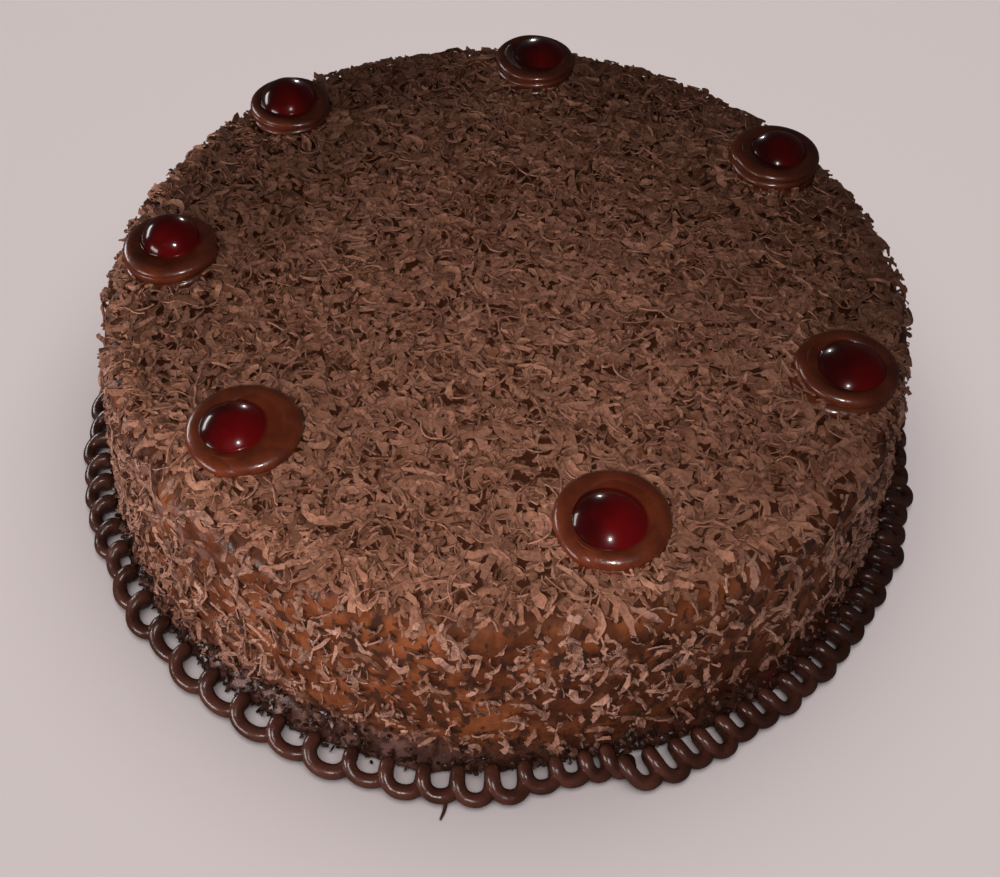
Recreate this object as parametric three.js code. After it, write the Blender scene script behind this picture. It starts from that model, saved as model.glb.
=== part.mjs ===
// A round chocolate mud cake: a ganache-covered body with a rounded rim, seven piped
// rosettes that each hold a glazed cherry, and a looped cord of ganache piped around
// its foot. Millimetres, +Z up, origin at the bottom centre of the whole cake.
import * as THREE from 'three';
import { mergeVertices } from 'three/addons/utils/BufferGeometryUtils.js';

// Driving dimensions. Lengths are in millimetres and angles in degrees.
const cake = {
  height: 67,
  rimRadius: 119.6,
  rimRound: 9,
  rimRoundSteps: 4,
  footRadius: 124.3,
  footOval: 2.2,
  footRound: 1.8,
  footBulge: 0.8,
  bulgeAngle: 222,
  bulgeWidth: 13,
  slowWaves: 3,
  slowWaveDepth: 0.5,
  slowWaveStart: 40,
  quickWaves: 7,
  quickWaveDepth: 0.3,
  topEnds: 72,
  sideBegins: 108,
  segments: 48,
};
const rosette = {
  ridge: 1.1,
  ridgeSet: 0.3,
  lowerLapSlope: 2,
  upperLapSlope: 3,
  topInset: 1.7,
  grooveLow: 0.15,
  grooveHigh: 0.8,
  seatTop: 0.93,
  seatMiddle: 0.55,
  seatBottom: 0.15,
  lip: 0.5,
  segments: 16,
};
const cherry = {
  underside: 0.4,
  seatGap: 0.65,
  around: 12,
  upward: 7,
};
const border = {
  cordRadius: 1.6,
  cordSides: 5,
  stepsPerLoop: 7,
  outerRadius: 136.7,
  seamAngle: 284.5,
  seamPinch: 4.6,
  seamPinchRun: 26,
  closeLoops: 21,
  closePitch: 3.4,
  openLoops: 66,
  openPitch: 4.325,
  openingLoops: 8,
  swing: 1.05,
  closeLean: 3,
  openLean: 1,
  lift: 3.65,
  turnPhase: 0.6,
  fallPhases: [1.2, 2.9],
};
const gap = 0.3;

// Where each rosette stands (angle and distance from the middle), the outer radius and
// height of its ring, the radius and top of its cherry, the angle where its coil ends,
// and how far the cherry sits off the ring's middle, outwards and sideways.
const places = [
  { angle: 135.9, out: 101.4, ring: 13.1, height: 6.4, fruit: 8.9, top: 11, turn: -60, off: [0.8, 0] },
  { angle: 86, out: 100.4, ring: 13.1, height: 6.4, fruit: 8.8, top: 9.4, turn: 180, off: [1.4, -0.8] },
  { angle: 32, out: 99.2, ring: 13.8, height: 7, fruit: 8.7, top: 10.4, turn: 200, off: [1, 0.3] },
  { angle: -21.5, out: 100.5, ring: 13.9, height: 5.6, fruit: 9.2, top: 8.4, turn: 240, off: [1.1, 0] },
  { angle: -72.7, out: 93.5, ring: 14.7, height: 5.4, fruit: 9.4, top: 8.2, turn: 285, off: [0.9, -1.2] },
  { angle: -135.8, out: 93.2, ring: 14.7, height: 5.2, fruit: 8.8, top: 8.8, turn: 310, off: [2.1, -1.2] },
  { angle: 179.8, out: 98.2, ring: 13.5, height: 6.6, fruit: 8.6, top: 11.2, turn: 20, off: [0.2, -1.6] },
];

const looks = {
  ganache: { color: 0x5a3526, roughness: 0.45, metalness: 0 },
  ring: { color: 0x5c2e17, roughness: 0.3, metalness: 0 },
  cord: { color: 0x3f1f14, roughness: 0.3, metalness: 0 },
  glaze: { color: 0x5e0a0c, roughness: 0.08, metalness: 0 },
};

const { degToRad, radToDeg, euclideanModulo, lerp, smoothstep } = THREE.MathUtils;
const upward = new THREE.Vector3(0, 0, 1);

function named(name, geometry, look) {
  const mesh = new THREE.Mesh(geometry, new THREE.MeshStandardMaterial(look));
  mesh.name = name;
  return mesh;
}

// How far an angle lies from another, between -180 and 180 degrees.
function turnBetween(angle, from) {
  return euclideanModulo(angle - from + 180, 360) - 180;
}

// The foot is a little oval and bulges at one place where crumbs gather.
function footRadiusAt(angle) {
  const bulge = Math.exp(-((turnBetween(angle, cake.bulgeAngle) / cake.bulgeWidth) ** 2));
  const oval = Math.cos(degToRad(2 * angle));
  return cake.footRadius + cake.footOval * oval + cake.footBulge * bulge;
}

// Slow waves that keep the rim from being a true circle.
function rimWave(angle) {
  const slow = Math.sin(degToRad(cake.slowWaves * angle + cake.slowWaveStart));
  const quick = Math.sin(degToRad(cake.quickWaves * angle));
  return cake.slowWaveDepth * slow + cake.quickWaveDepth * quick;
}

// The cake's outline from the bottom middle, up its side, round the rim to the top.
function cakeProfile() {
  const points = [new THREE.Vector2(0, 0)];
  points.push(new THREE.Vector2(cake.footRadius - cake.footRound, 0));
  points.push(new THREE.Vector2(cake.footRadius, cake.footRound));
  const arcCentre = [cake.rimRadius - cake.rimRound, cake.height - cake.rimRound];
  for (let i = 0; i <= cake.rimRoundSteps; i += 1) {
    const turn = (Math.PI / 2) * (i / cake.rimRoundSteps);
    const across = arcCentre[0] + cake.rimRound * Math.cos(turn);
    points.push(new THREE.Vector2(across, arcCentre[1] + cake.rimRound * Math.sin(turn)));
  }
  points.push(new THREE.Vector2(cake.topEnds, cake.height));
  points.push(new THREE.Vector2(0, cake.height));
  return points;
}

// Turns the outline and pushes its side in and out, so that it is no true round.
function cakeGeometry() {
  const lathe = new THREE.LatheGeometry(cakeProfile(), cake.segments);
  lathe.deleteAttribute('normal');
  lathe.deleteAttribute('uv');
  lathe.rotateX(Math.PI / 2);
  const shape = mergeVertices(lathe);
  const points = shape.attributes.position;
  for (let i = 0; i < points.count; i += 1) {
    const x = points.getX(i);
    const y = points.getY(i);
    const across = Math.hypot(x, y);
    const angle = radToDeg(Math.atan2(y, x));
    const atFoot = 1 - Math.min(points.getZ(i) / (cake.height - cake.rimRound), 1);
    const atSide = smoothstep(across, cake.topEnds, cake.sideBegins);
    const push = lerp(rimWave(angle), footRadiusAt(angle) - cake.footRadius, atFoot);
    const scale = 1 + (atSide * push) / Math.max(across, 1);
    points.setXY(i, x * scale, y * scale);
  }
  shape.computeVertexNormals();
  return shape;
}

// Half the height of a cherry, which stands a little clear of the cake's top.
function halfHeightOf(place) {
  return (place.top - cherry.underside) / 2;
}

// How wide the cherry is at a height, with the gap that keeps its ring clear of it.
function seatRadiusAt(height, place) {
  const half = halfHeightOf(place);
  const fromMiddle = (height - cherry.underside - half) / (half + cherry.seatGap);
  return (place.fruit + cherry.seatGap) * Math.sqrt(Math.max(0, 1 - fromMiddle ** 2));
}

// A ring's section at one angle, from its outer foot up and back down its seat. The
// groove between the coil's two laps climbs from low to high as the coil goes round.
function ringSection(share, place) {
  const high = place.height;
  const groove = high * lerp(rosette.grooveLow, rosette.grooveHigh, share);
  const wall = place.ring - rosette.ridge;
  const lowerLap = rosette.ridge * Math.min(1, groove / rosette.lowerLapSlope);
  const upperLap = rosette.ridge * Math.min(1, (high - groove) / rosette.upperLapSlope);
  const seat = [rosette.seatTop, rosette.seatMiddle, rosette.seatBottom].map((part) => ({
    across: seatRadiusAt(high * part, place),
    height: high * part,
    onSeat: true,
  }));
  return [
    { across: wall, height: 0 },
    { across: wall + lowerLap, height: groove / 2 },
    { across: wall, height: groove },
    { across: wall - rosette.ridgeSet + upperLap, height: (groove + high) / 2 },
    { across: place.ring - rosette.topInset, height: high },
    ...seat,
    { across: seat[2].across - rosette.lip, height: 0, onSeat: true },
  ];
}

// A piped ring as a closed band of sections. Its seat follows the cherry, which may sit
// off the ring's middle.
function ringGeometry(place, offset) {
  const corners = ringSection(0, place).length;
  const points = [];
  const faces = [];
  for (let i = 0; i < rosette.segments; i += 1) {
    const turn = (2 * Math.PI * i) / rosette.segments + degToRad(place.turn);
    ringSection(i / (rosette.segments - 1), place).forEach(({ across, height, onSeat }) => {
      const x = across * Math.cos(turn) + (onSeat ? offset.x : 0);
      const y = across * Math.sin(turn) + (onSeat ? offset.y : 0);
      points.push(x, y, height);
    });
    const here = i * corners;
    const next = ((i + 1) % rosette.segments) * corners;
    for (let j = 0; j < corners; j += 1) {
      const k = (j + 1) % corners;
      faces.push(here + j, next + j, next + k, here + j, next + k, here + k);
    }
  }
  const shape = new THREE.BufferGeometry();
  shape.setAttribute('position', new THREE.Float32BufferAttribute(points, 3));
  shape.setIndex(faces);
  shape.computeVertexNormals();
  return shape;
}

function cherryGeometry(place, offset) {
  const shape = new THREE.SphereGeometry(1, cherry.around, cherry.upward);
  shape.rotateX(Math.PI / 2);
  const half = halfHeightOf(place);
  shape.scale(place.fruit, place.fruit, half);
  shape.translate(offset.x, offset.y, cherry.underside + half);
  return shape;
}

// A rosette and its cherry in their own place on top of the cake.
function rosetteAndCherry(place, number) {
  const direction = degToRad(place.angle);
  const offset = new THREE.Vector3(...place.off, 0).applyAxisAngle(upward, direction);
  const spot = new THREE.Group();
  spot.position.set(place.out, 0, cake.height + gap).applyAxisAngle(upward, direction);
  spot.add(named(`rosette_${number}`, ringGeometry(place, offset), looks.ring));
  spot.add(named(`cherry_${number}`, cherryGeometry(place, offset), looks.glaze));
  return spot;
}

// How far out the cord's loops reach: they draw in towards the seam.
function loopRadiusAt(angle) {
  const before = turnBetween(border.seamAngle, angle);
  const pinch = before > 0 ? Math.max(0, 1 - before / border.seamPinchRun) : 0;
  return border.outerRadius - border.seamPinch * pinch;
}

// The cord runs out along one side of a loop, round its outer end and back in to the
// foot, where it turns up and over itself to start the next loop. It is stepped by its
// phase in the loop and not by its length, so that all loops are alike.
class PipedCord extends THREE.Curve {
  getPoint(t, target = new THREE.Vector3()) {
    const loops = t * (border.closeLoops + border.openLoops);
    const closed = Math.min(loops, border.closeLoops);
    const opened = loops - closed;
    const pitch = opened > 0 ? border.openPitch : border.closePitch;
    const angle = border.seamAngle + closed * border.closePitch + opened * border.openPitch;
    const phase = 2 * Math.PI * (loops - Math.floor(loops));
    const reach = (1 - Math.cos(phase)) / 2;
    const inner = footRadiusAt(angle) + gap + border.cordRadius;
    const outer = loopRadiusAt(angle) - border.cordRadius;
    const across = lerp(inner, outer, reach);
    const swing = (pitch * border.swing * Math.sin(phase)) / (2 * Math.PI);
    const lean = radToDeg(this.leanAt(loops) / across) * reach;
    const turn = degToRad(angle - swing + lean);
    return target.set(across * Math.cos(turn), across * Math.sin(turn), this.heightAt(phase));
  }

  // The loops lean the way they are piped, most where they are close together.
  leanAt(loops) {
    const opening = smoothstep(loops, border.closeLoops - border.openingLoops, border.closeLoops);
    return lerp(border.closeLean, border.openLean, opening);
  }

  // The cord rises over its own last stretch at the foot, and lies flat at its outer end.
  heightAt(phase) {
    const fromFoot = phase > Math.PI ? phase - 2 * Math.PI : phase;
    const rise = smoothstep(fromFoot, -border.turnPhase, border.turnPhase);
    const fall = smoothstep(fromFoot, ...border.fallPhases);
    return border.cordRadius + border.lift * (rise - fall);
  }

  getPointAt(u, target) {
    return this.getPoint(u, target);
  }

  getTangentAt(u, target) {
    return this.getTangent(u, target);
  }
}

// The cord's round section, swept along its loops.
function borderGeometry() {
  const corners = [];
  for (let i = 0; i < border.cordSides; i += 1) {
    const turn = (2 * Math.PI * (i + 0.5)) / border.cordSides;
    corners.push(new THREE.Vector2(Math.cos(turn), Math.sin(turn)).multiplyScalar(border.cordRadius));
  }
  return new THREE.ExtrudeGeometry(new THREE.Shape(corners), {
    steps: (border.closeLoops + border.openLoops) * border.stepsPerLoop,
    bevelEnabled: false,
    extrudePath: new PipedCord(),
  });
}

const group = new THREE.Group();
group.add(named('cake', cakeGeometry(), looks.ganache));
group.add(named('piped_border', borderGeometry(), looks.cord));
places.forEach((place, index) => group.add(rosetteAndCherry(place, index + 1)));

export default group;
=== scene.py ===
import math

import bmesh
import bpy
import numpy as np
from mathutils import Matrix, Vector, noise


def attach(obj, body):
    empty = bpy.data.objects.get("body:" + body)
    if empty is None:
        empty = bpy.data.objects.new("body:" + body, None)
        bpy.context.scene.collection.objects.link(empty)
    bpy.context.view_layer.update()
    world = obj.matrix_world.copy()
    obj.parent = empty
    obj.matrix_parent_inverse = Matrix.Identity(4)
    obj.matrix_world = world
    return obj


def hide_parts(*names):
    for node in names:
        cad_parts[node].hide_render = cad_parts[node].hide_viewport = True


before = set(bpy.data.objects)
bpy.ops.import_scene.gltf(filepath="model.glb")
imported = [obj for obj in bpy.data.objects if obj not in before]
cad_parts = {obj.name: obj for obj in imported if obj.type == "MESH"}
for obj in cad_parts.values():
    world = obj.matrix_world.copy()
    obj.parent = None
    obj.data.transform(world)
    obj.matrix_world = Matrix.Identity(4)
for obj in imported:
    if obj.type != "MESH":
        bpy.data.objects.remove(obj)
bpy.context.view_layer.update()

scene = bpy.context.scene
chance = np.random.default_rng(41)
mergeWithin = 0.000001
mottleBand = (0.35, 0.65)

# Where the cake is looked at from, and how much of it is seen.
camera = {
    "place": (-0.0004, -0.2577, 0.3126),
    "downTilt": 51.51,
    "roll": 2.04,
    "lens": 43.2,
    "sensor": 36,
    "nearClip": 0.01,
}


def aimCamera():
    tilt = math.radians(camera["downTilt"])
    roll = math.radians(camera["roll"])
    ahead = Vector((0, math.cos(tilt), -math.sin(tilt)))
    upward = Vector((0, math.sin(tilt), math.cos(tilt)))
    right = Vector((1, 0, 0))
    across = math.cos(roll) * right + math.sin(roll) * upward
    up = math.cos(roll) * upward - math.sin(roll) * right
    data = bpy.data.cameras.new("mainCamera")
    data.sensor_width = camera["sensor"]
    data.lens = camera["lens"]
    data.clip_start = camera["nearClip"]
    obj = bpy.data.objects.new("mainCamera", data)
    scene.collection.objects.link(obj)
    turn = Matrix((across, up, -ahead)).transposed().to_4x4()
    obj.matrix_world = Matrix.Translation(camera["place"]) @ turn
    scene.camera = obj


aimCamera()
print("camera is set")


def smoothStep(value, low, high):
    share = np.clip((value - low) / (high - low), 0, 1)
    return share * share * (3 - 2 * share)


def hump(value, middle, width):
    return np.exp(-(((value - middle) / width) ** 2))


def addPiece(name, mesh, material, slotName, *stoodFor):
    obj = bpy.data.objects.new(name, mesh)
    scene.collection.objects.link(obj)
    mesh.materials.append(material)
    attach(obj, "root")
    if stoodFor:
        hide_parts(*stoodFor)
    return obj


def meshFrom(bm, name, smooth=True):
    bmesh.ops.recalc_face_normals(bm, faces=bm.faces[:])
    for face in bm.faces:
        face.smooth = smooth
    mesh = bpy.data.meshes.new(name)
    bm.to_mesh(mesh)
    bm.free()
    return mesh


def spinOutline(outline, steps):
    bm = bmesh.new()
    verts = [bm.verts.new((across, 0, up)) for across, up in outline]
    edges = [bm.edges.new(pair) for pair in zip(verts, verts[1:])]
    bmesh.ops.spin(bm, geom=verts + edges, axis=(0, 0, 1), cent=(0, 0, 0), angle=2 * math.pi,
                   steps=steps, use_merge=True)
    bmesh.ops.remove_doubles(bm, verts=bm.verts[:], dist=mergeWithin)
    return bm


# A material with its nodes. Patterns lie on the piece's own coordinates, with sizes in metres.
class Finish:
    def __init__(self, name):
        self.material = bpy.data.materials.new(name)
        self.material.use_nodes = True
        self.nodes = self.material.node_tree.nodes
        self.links = self.material.node_tree.links
        self.skin = self.nodes["Principled BSDF"]
        self.spot = self.nodes.new("ShaderNodeTexCoord").outputs["Object"]

    def put(self, **values):
        for key, value in values.items():
            self.skin.inputs[key.replace("_", " ")].default_value = value

    def noise(self, grain, detail=2.0, stretch=(1, 1, 1)):
        place = self.nodes.new("ShaderNodeMapping")
        place.inputs["Scale"].default_value = stretch
        self.links.new(self.spot, place.inputs["Vector"])
        tex = self.nodes.new("ShaderNodeTexNoise")
        tex.inputs["Scale"].default_value = 1 / grain
        tex.inputs["Detail"].default_value = detail
        self.links.new(place.outputs[0], tex.inputs["Vector"])
        return tex.outputs["Fac"]

    def attribute(self, name):
        node = self.nodes.new("ShaderNodeAttribute")
        node.attribute_name = name
        return node.outputs["Color"]

    def split(self, vector):
        node = self.nodes.new("ShaderNodeSeparateXYZ")
        self.links.new(vector, node.inputs[0])
        return node.outputs

    def band(self, value, low, high, start=0.0, end=1.0):
        node = self.nodes.new("ShaderNodeMapRange")
        node.interpolation_type = "SMOOTHSTEP"
        self.links.new(value, node.inputs["Value"])
        node.inputs["From Min"].default_value = low
        node.inputs["From Max"].default_value = high
        node.inputs["To Min"].default_value = start
        node.inputs["To Max"].default_value = end
        return node.outputs["Result"]

    def mottle(self, grain, *ends):
        return self.band(self.noise(grain), *mottleBand, *ends)

    def math(self, what, a, b):
        node = self.nodes.new("ShaderNodeMath")
        node.operation = what
        for i, value in enumerate((a, b)):
            if isinstance(value, (int, float)):
                node.inputs[i].default_value = value
            else:
                self.links.new(value, node.inputs[i])
        return node.outputs[0]

    def times(self, a, b):
        return self.math("MULTIPLY", a, b)

    def mix(self, share, a, b):
        node = self.nodes.new("ShaderNodeMix")
        node.data_type = "RGBA"
        for socket, value in ((node.inputs[0], share), (node.inputs[6], a), (node.inputs[7], b)):
            if isinstance(value, (int, float)):
                socket.default_value = value
            elif isinstance(value, tuple):
                socket.default_value = (*value, 1)
            else:
                self.links.new(value, socket)
        return node.outputs[2]

    def colour(self, out):
        self.links.new(out, self.skin.inputs["Base Color"])

    def roughness(self, out):
        self.links.new(out, self.skin.inputs["Roughness"])

    def bump(self, *layers):
        before = None
        for height, depth in layers:
            node = self.nodes.new("ShaderNodeBump")
            node.inputs["Distance"].default_value = depth
            self.links.new(height, node.inputs["Height"])
            if before:
                self.links.new(before, node.inputs["Normal"])
            before = node.outputs["Normal"]
        self.links.new(before, self.skin.inputs["Normal"])
        return self

    def bumpy(self, *layers):
        return self.bump(*[(self.noise(grain), depth) for grain, depth in layers])


# The covered cake, from the middle of its top over the round rim and down the side.
body = {
    "height": 0.0645,
    "rimRadius": 0.1184,
    "rimRound": 0.0085,
    "footRadius": 0.1232,
    "footRound": 0.0012,
    "footOval": 0.0022,
    "footBulge": 0.0012,
    "bulgeAngle": 222,
    "bulgeWidth": 13,
    "rimWaves": ((3, 40, 0.0005), (7, 0, 0.0003)),
    "turnSteps": 420,
    "sideSteps": 26,
    "fringeSteps": 9,
    "rimSteps": 8,
    "topSteps": 36,
    "pushFrom": (0.072, 0.108),
    "sideFrom": (0.108, 0.117),
    "clearOfFoot": 0.004,
    "brushed": 0.0003,
    "brushGrain": (60, 60, 200),
    "lumps": 0.0005,
    "lumpGrain": 130,
    "topFrom": (0.06, 0.064),
    "topLumps": 0.6,
    "fringeFrom": 0.001,
    "fringeTop": 0.0075,
    "fringeInner": (0.6, 0.002),
    "fringeLumps": 0.0011,
    "fringeGrain": (90, 260),
    "fringeFine": 0.7,
    "leastCreep": 0.0003,
}
# The soft ganache that has crept out under the foot, and where the cord's inner bends lie.
fringe = {
    "leftReach": 0.1273,
    "nearSeam": 0.0046,
    "seamFrom": 258,
    "seam": 286,
    "rightOut": 0.0037,
    "backOut": 0.0022,
    "leastOut": 0.0008,
    "leftBegins": (185, 205),
    "leftEnds": (292, 285),
    "rightBegins": (285, 292),
    "rightEnds": (352, 340),
    "headInset": 0.0008,
    "headRight": 0.1247,
    "headAtSeam": 0.0009,
    "headMiddle": 288,
    "headFade": 13,
    "headEnds": (356, 346),
}
flatEnd = body["rimRadius"] - body["rimRound"]
rimEnd = flatEnd + body["rimRound"] * math.pi / 2
sideEnd = rimEnd + body["height"] - body["rimRound"]


def footShape(angle):
    off = (angle - body["bulgeAngle"] + 180) % 360 - 180
    bulge = body["footBulge"] * hump(off, 0, body["bulgeWidth"])
    return body["footOval"] * np.cos(np.radians(2 * angle)) + bulge


def footLine(angle):
    return body["footRadius"] + footShape(angle)


def fringeLine(angle):
    angle = angle % 360
    drawnIn = fringe["nearSeam"] * smoothStep(angle, fringe["seamFrom"], fringe["seam"])
    left = fringe["leftReach"] - drawnIn
    left = np.maximum(left, footLine(angle) + fringe["leastOut"])
    right = footLine(angle) + fringe["rightOut"]
    back = footLine(angle) + fringe["backOut"]
    onLeft = smoothStep(angle, *fringe["leftBegins"]) * smoothStep(angle, *fringe["leftEnds"])
    onRight = smoothStep(angle, *fringe["rightBegins"]) * smoothStep(angle, *fringe["rightEnds"])
    return left * onLeft + right * onRight + back * (1 - onLeft - onRight)


def headLine(angle):
    angle = angle % 360
    left = fringeLine(angle) - fringe["headInset"]
    atSeam = hump(angle, fringe["headMiddle"], fringe["headFade"])
    right = fringe["headRight"] + fringe["headAtSeam"] * atSeam
    onRight = (angle > fringe["seam"]) * smoothStep(angle, *fringe["headEnds"])
    return left + (right - left) * onRight


def rimShape(angle):
    waves = body["rimWaves"]
    return sum(depth * np.sin(np.radians(count * angle + start)) for count, start, depth in waves)


def skinRadius(along):
    bend = np.clip((along - flatEnd) / body["rimRound"], 0, math.pi / 2)
    down = np.clip((along - rimEnd) / (sideEnd - rimEnd), 0, 1)
    spread = (body["footRadius"] - body["rimRadius"]) * down
    return np.minimum(along, flatEnd) + body["rimRound"] * np.sin(bend) + spread


def skinHeight(along):
    bend = np.clip((along - flatEnd) / body["rimRound"], 0, math.pi / 2)
    return body["height"] - body["rimRound"] * (1 - np.cos(bend)) - np.maximum(0, along - rimEnd)


def sidePush(angle, height, radius):
    atFoot = 1 - np.clip(height / (body["height"] - body["rimRound"]), 0, 1)
    push = rimShape(angle) * (1 - atFoot) + footShape(angle) * atFoot
    return push * smoothStep(radius, *body["pushFrom"])


def skinAt(angle, along, out):
    bend = np.clip((along - flatEnd) / body["rimRound"], 0, math.pi / 2)
    height = skinHeight(along)
    radius = skinRadius(along)
    radius = radius + sidePush(angle, height, radius) + out * np.sin(bend)
    turn = np.radians(angle)
    return np.stack([radius * np.cos(turn), radius * np.sin(turn), height + out * np.cos(bend)], -1)


def unevenSpot(x, y, z):
    across = math.hypot(x, y)
    angle = math.degrees(math.atan2(y, x)) % 360
    push = sidePush(angle, z, across)
    onSide = smoothStep(across, *body["sideFrom"])
    onSide *= smoothStep(z, 0.0, body["clearOfFoot"])
    grain = body["brushGrain"]
    brushed = noise.noise((x * grain[0], y * grain[1], z * grain[2])) * body["brushed"]
    grain = body["lumpGrain"]
    lumps = noise.noise((x * grain + 9, y * grain, z * grain)) * body["lumps"]
    low = 1 - smoothStep(z, body["fringeFrom"], body["fringeTop"])
    inner, short = body["fringeInner"]
    low *= smoothStep(across, body["footRadius"] * inner, body["footRadius"] - short)
    coarse, fine = body["fringeGrain"]
    uneven = noise.noise((x * coarse, y * coarse, 4.0))
    uneven += body["fringeFine"] * noise.noise((x * fine, y * fine, z * fine))
    creep = fringeLine(angle) - footLine(angle) + uneven * body["fringeLumps"]
    out = push + onSide * (brushed + lumps) + low * max(creep, body["leastCreep"])
    scale = 1 + out / max(across, mergeWithin)
    topLump = lumps * body["topLumps"] * smoothStep(z, *body["topFrom"])
    return x * scale, y * scale, z + topLump


def makeBody():
    fringeEnd = sideEnd - body["fringeTop"]
    foot, footRound = body["footRadius"], body["footRound"]
    outline = [(0, 0), (foot * 0.5, 0), (foot - footRound, 0), (foot, footRound)]
    stretches = (
        (sideEnd - footRound * 1.6, fringeEnd, body["fringeSteps"]),
        (fringeEnd, rimEnd, body["sideSteps"]),
        (rimEnd, flatEnd, body["rimSteps"]),
    )
    alongs = []
    for start, end, steps in stretches:
        alongs += list(np.linspace(start, end, steps, endpoint=False))
    alongs += list(np.linspace(flatEnd, 0, body["topSteps"]))
    outline += [(skinRadius(along), skinHeight(along)) for along in alongs]
    bm = spinOutline(outline, body["turnSteps"])
    for vert in bm.verts:
        vert.co = unevenSpot(*vert.co)
    return meshFrom(bm, "ganacheBody")


# Caramel brown with darker clouds and smudges and painted shade darkening the side towards
#  the foot, dark and wet at the foot with a painted rosy sheen on its smears on the left,
#  painted pale sheen streaks under the left rim, and a syrupy patch low on the right.
ganache = {
    "broad": 0.018,
    "clouds": 0.006,
    "smudges": 0.0034,
    "paintedSheenStreaks": 0.0045,
    "smears": 0.0042,
    "caramel": ((0.082, 0.0205, 0.0072), (0.175, 0.05, 0.0175)),
    "caramelBand": (0.38, 0.64),
    "cloudAndLowShade": (0.045, 0.0135, 0.0065),
    "cloudBand": (0.42, 0.64, 0.0, 0.7),
    "paintedLowShade": (0.026, 0.006, 0.0, 0.45),
    "smudge": (0.026, 0.0115, 0.008),
    "smudgeBand": (0.515, 0.605, 0.0, 0.86),
    "paintedSheenStreak": (0.16, 0.088, 0.08),
    "paintedSheenStreakBand": (0.52, 0.62, 0.0, 0.55),
    "paintedSheenStreakAcross": (-0.055, -0.085),
    "paintedSheenStreakUp": (0.036, 0.05),
    "top": (0.056, 0.0178, 0.0088),
    "topFrom": (0.0612, 0.0641),
    "syrup": (0.06, 0.008, 0.004),
    "syrupBand": (0.4, 0.6),
    "syrupAcross": (0.0, 0.06),
    "syrupDown": (0.013, 0.003),
    "wet": ((0.018, 0.0068, 0.0047), (0.044, 0.0162, 0.011)),
    "wetBand": (0.4, 0.62),
    "wetShare": 0.9,
    "wetDown": (0.022, 0.0155),
    "wetUneven": 0.012,
    "wetLeft": (0.03, -0.06, 0.0, 0.0025),
    "rosySheen": (0.12, 0.055, 0.047),
    "rosySheenBand": (0.48, 0.6, 0.0, 0.7),
    "rosySheenAcross": (0.0, -0.03),
    "roughness": (0.35, 0.65, 0.36, 0.25),
    "topRougher": 0.35,
    "bumps": (0.0007, 0.00035),
    "bumpGrain": 0.0017,
}


def ganacheFinish():
    look = Finish("softGanache")
    x, _, z = look.split(look.spot)
    broad = look.noise(ganache["broad"], 3, (1, 1, 1.1))
    clouds = look.noise(ganache["clouds"], 3, (1, 1, 0.6))
    smudges = look.noise(ganache["smudges"], 3, (1, 1, 0.6))
    tone = look.mix(look.band(broad, *ganache["caramelBand"]), *ganache["caramel"])
    tone = look.mix(look.band(clouds, *ganache["cloudBand"]), tone, ganache["cloudAndLowShade"])
    # Painted shade: the side darkens towards the foot.
    tone = look.mix(look.band(z, *ganache["paintedLowShade"]), tone, ganache["cloudAndLowShade"])
    tone = look.mix(look.band(smudges, *ganache["smudgeBand"]), tone, ganache["smudge"])
    # Painted sheen: pale streaks on the left flank under the rim.
    paintedSheenStreaks = look.band(look.noise(ganache["paintedSheenStreaks"], 2, (0.4, 1, 1)), *ganache["paintedSheenStreakBand"])
    onFlank = look.times(look.band(x, *ganache["paintedSheenStreakAcross"]), look.band(z, *ganache["paintedSheenStreakUp"]))
    tone = look.mix(look.times(paintedSheenStreaks, onFlank), tone, ganache["paintedSheenStreak"])
    onTop = look.band(z, *ganache["topFrom"])
    tone = look.mix(onTop, tone, ganache["top"])
    syrup = look.times(look.band(z, *ganache["syrupDown"]), look.band(x, *ganache["syrupAcross"]))
    syrup = look.times(syrup, look.band(clouds, *ganache["syrupBand"]))
    tone = look.mix(syrup, tone, ganache["syrup"])
    wet = look.mix(look.band(smudges, *ganache["wetBand"]), *ganache["wet"])
    # Painted sheen: a rosy reflection painted onto the wet smears at the left of the foot.
    smears = look.band(look.noise(ganache["smears"], 3, (1, 1, 1.6)), *ganache["rosySheenBand"])
    wet = look.mix(look.times(smears, look.band(x, *ganache["rosySheenAcross"])), wet, ganache["rosySheen"])
    uneven = look.times(look.math("ADD", clouds, smudges), ganache["wetUneven"])
    edge = look.math("SUBTRACT", look.math("ADD", z, uneven), look.band(x, *ganache["wetLeft"]))
    foot = look.times(look.band(edge, *ganache["wetDown"]), ganache["wetShare"])
    look.colour(look.mix(foot, tone, wet))
    rough = look.band(smudges, *ganache["roughness"])
    look.roughness(look.math("ADD", rough, look.times(onTop, ganache["topRougher"])))
    look.put(Specular_IOR_Level=0.3, Coat_Weight=0.1, Coat_Roughness=0.25)
    deep, shallow = ganache["bumps"]
    return look.bump((clouds, deep), (look.noise(ganache["bumpGrain"], 3), shallow)).material


addPiece("ganache_body", makeBody(), ganacheFinish(), "ganache", "cake")
print("body is made")

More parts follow.
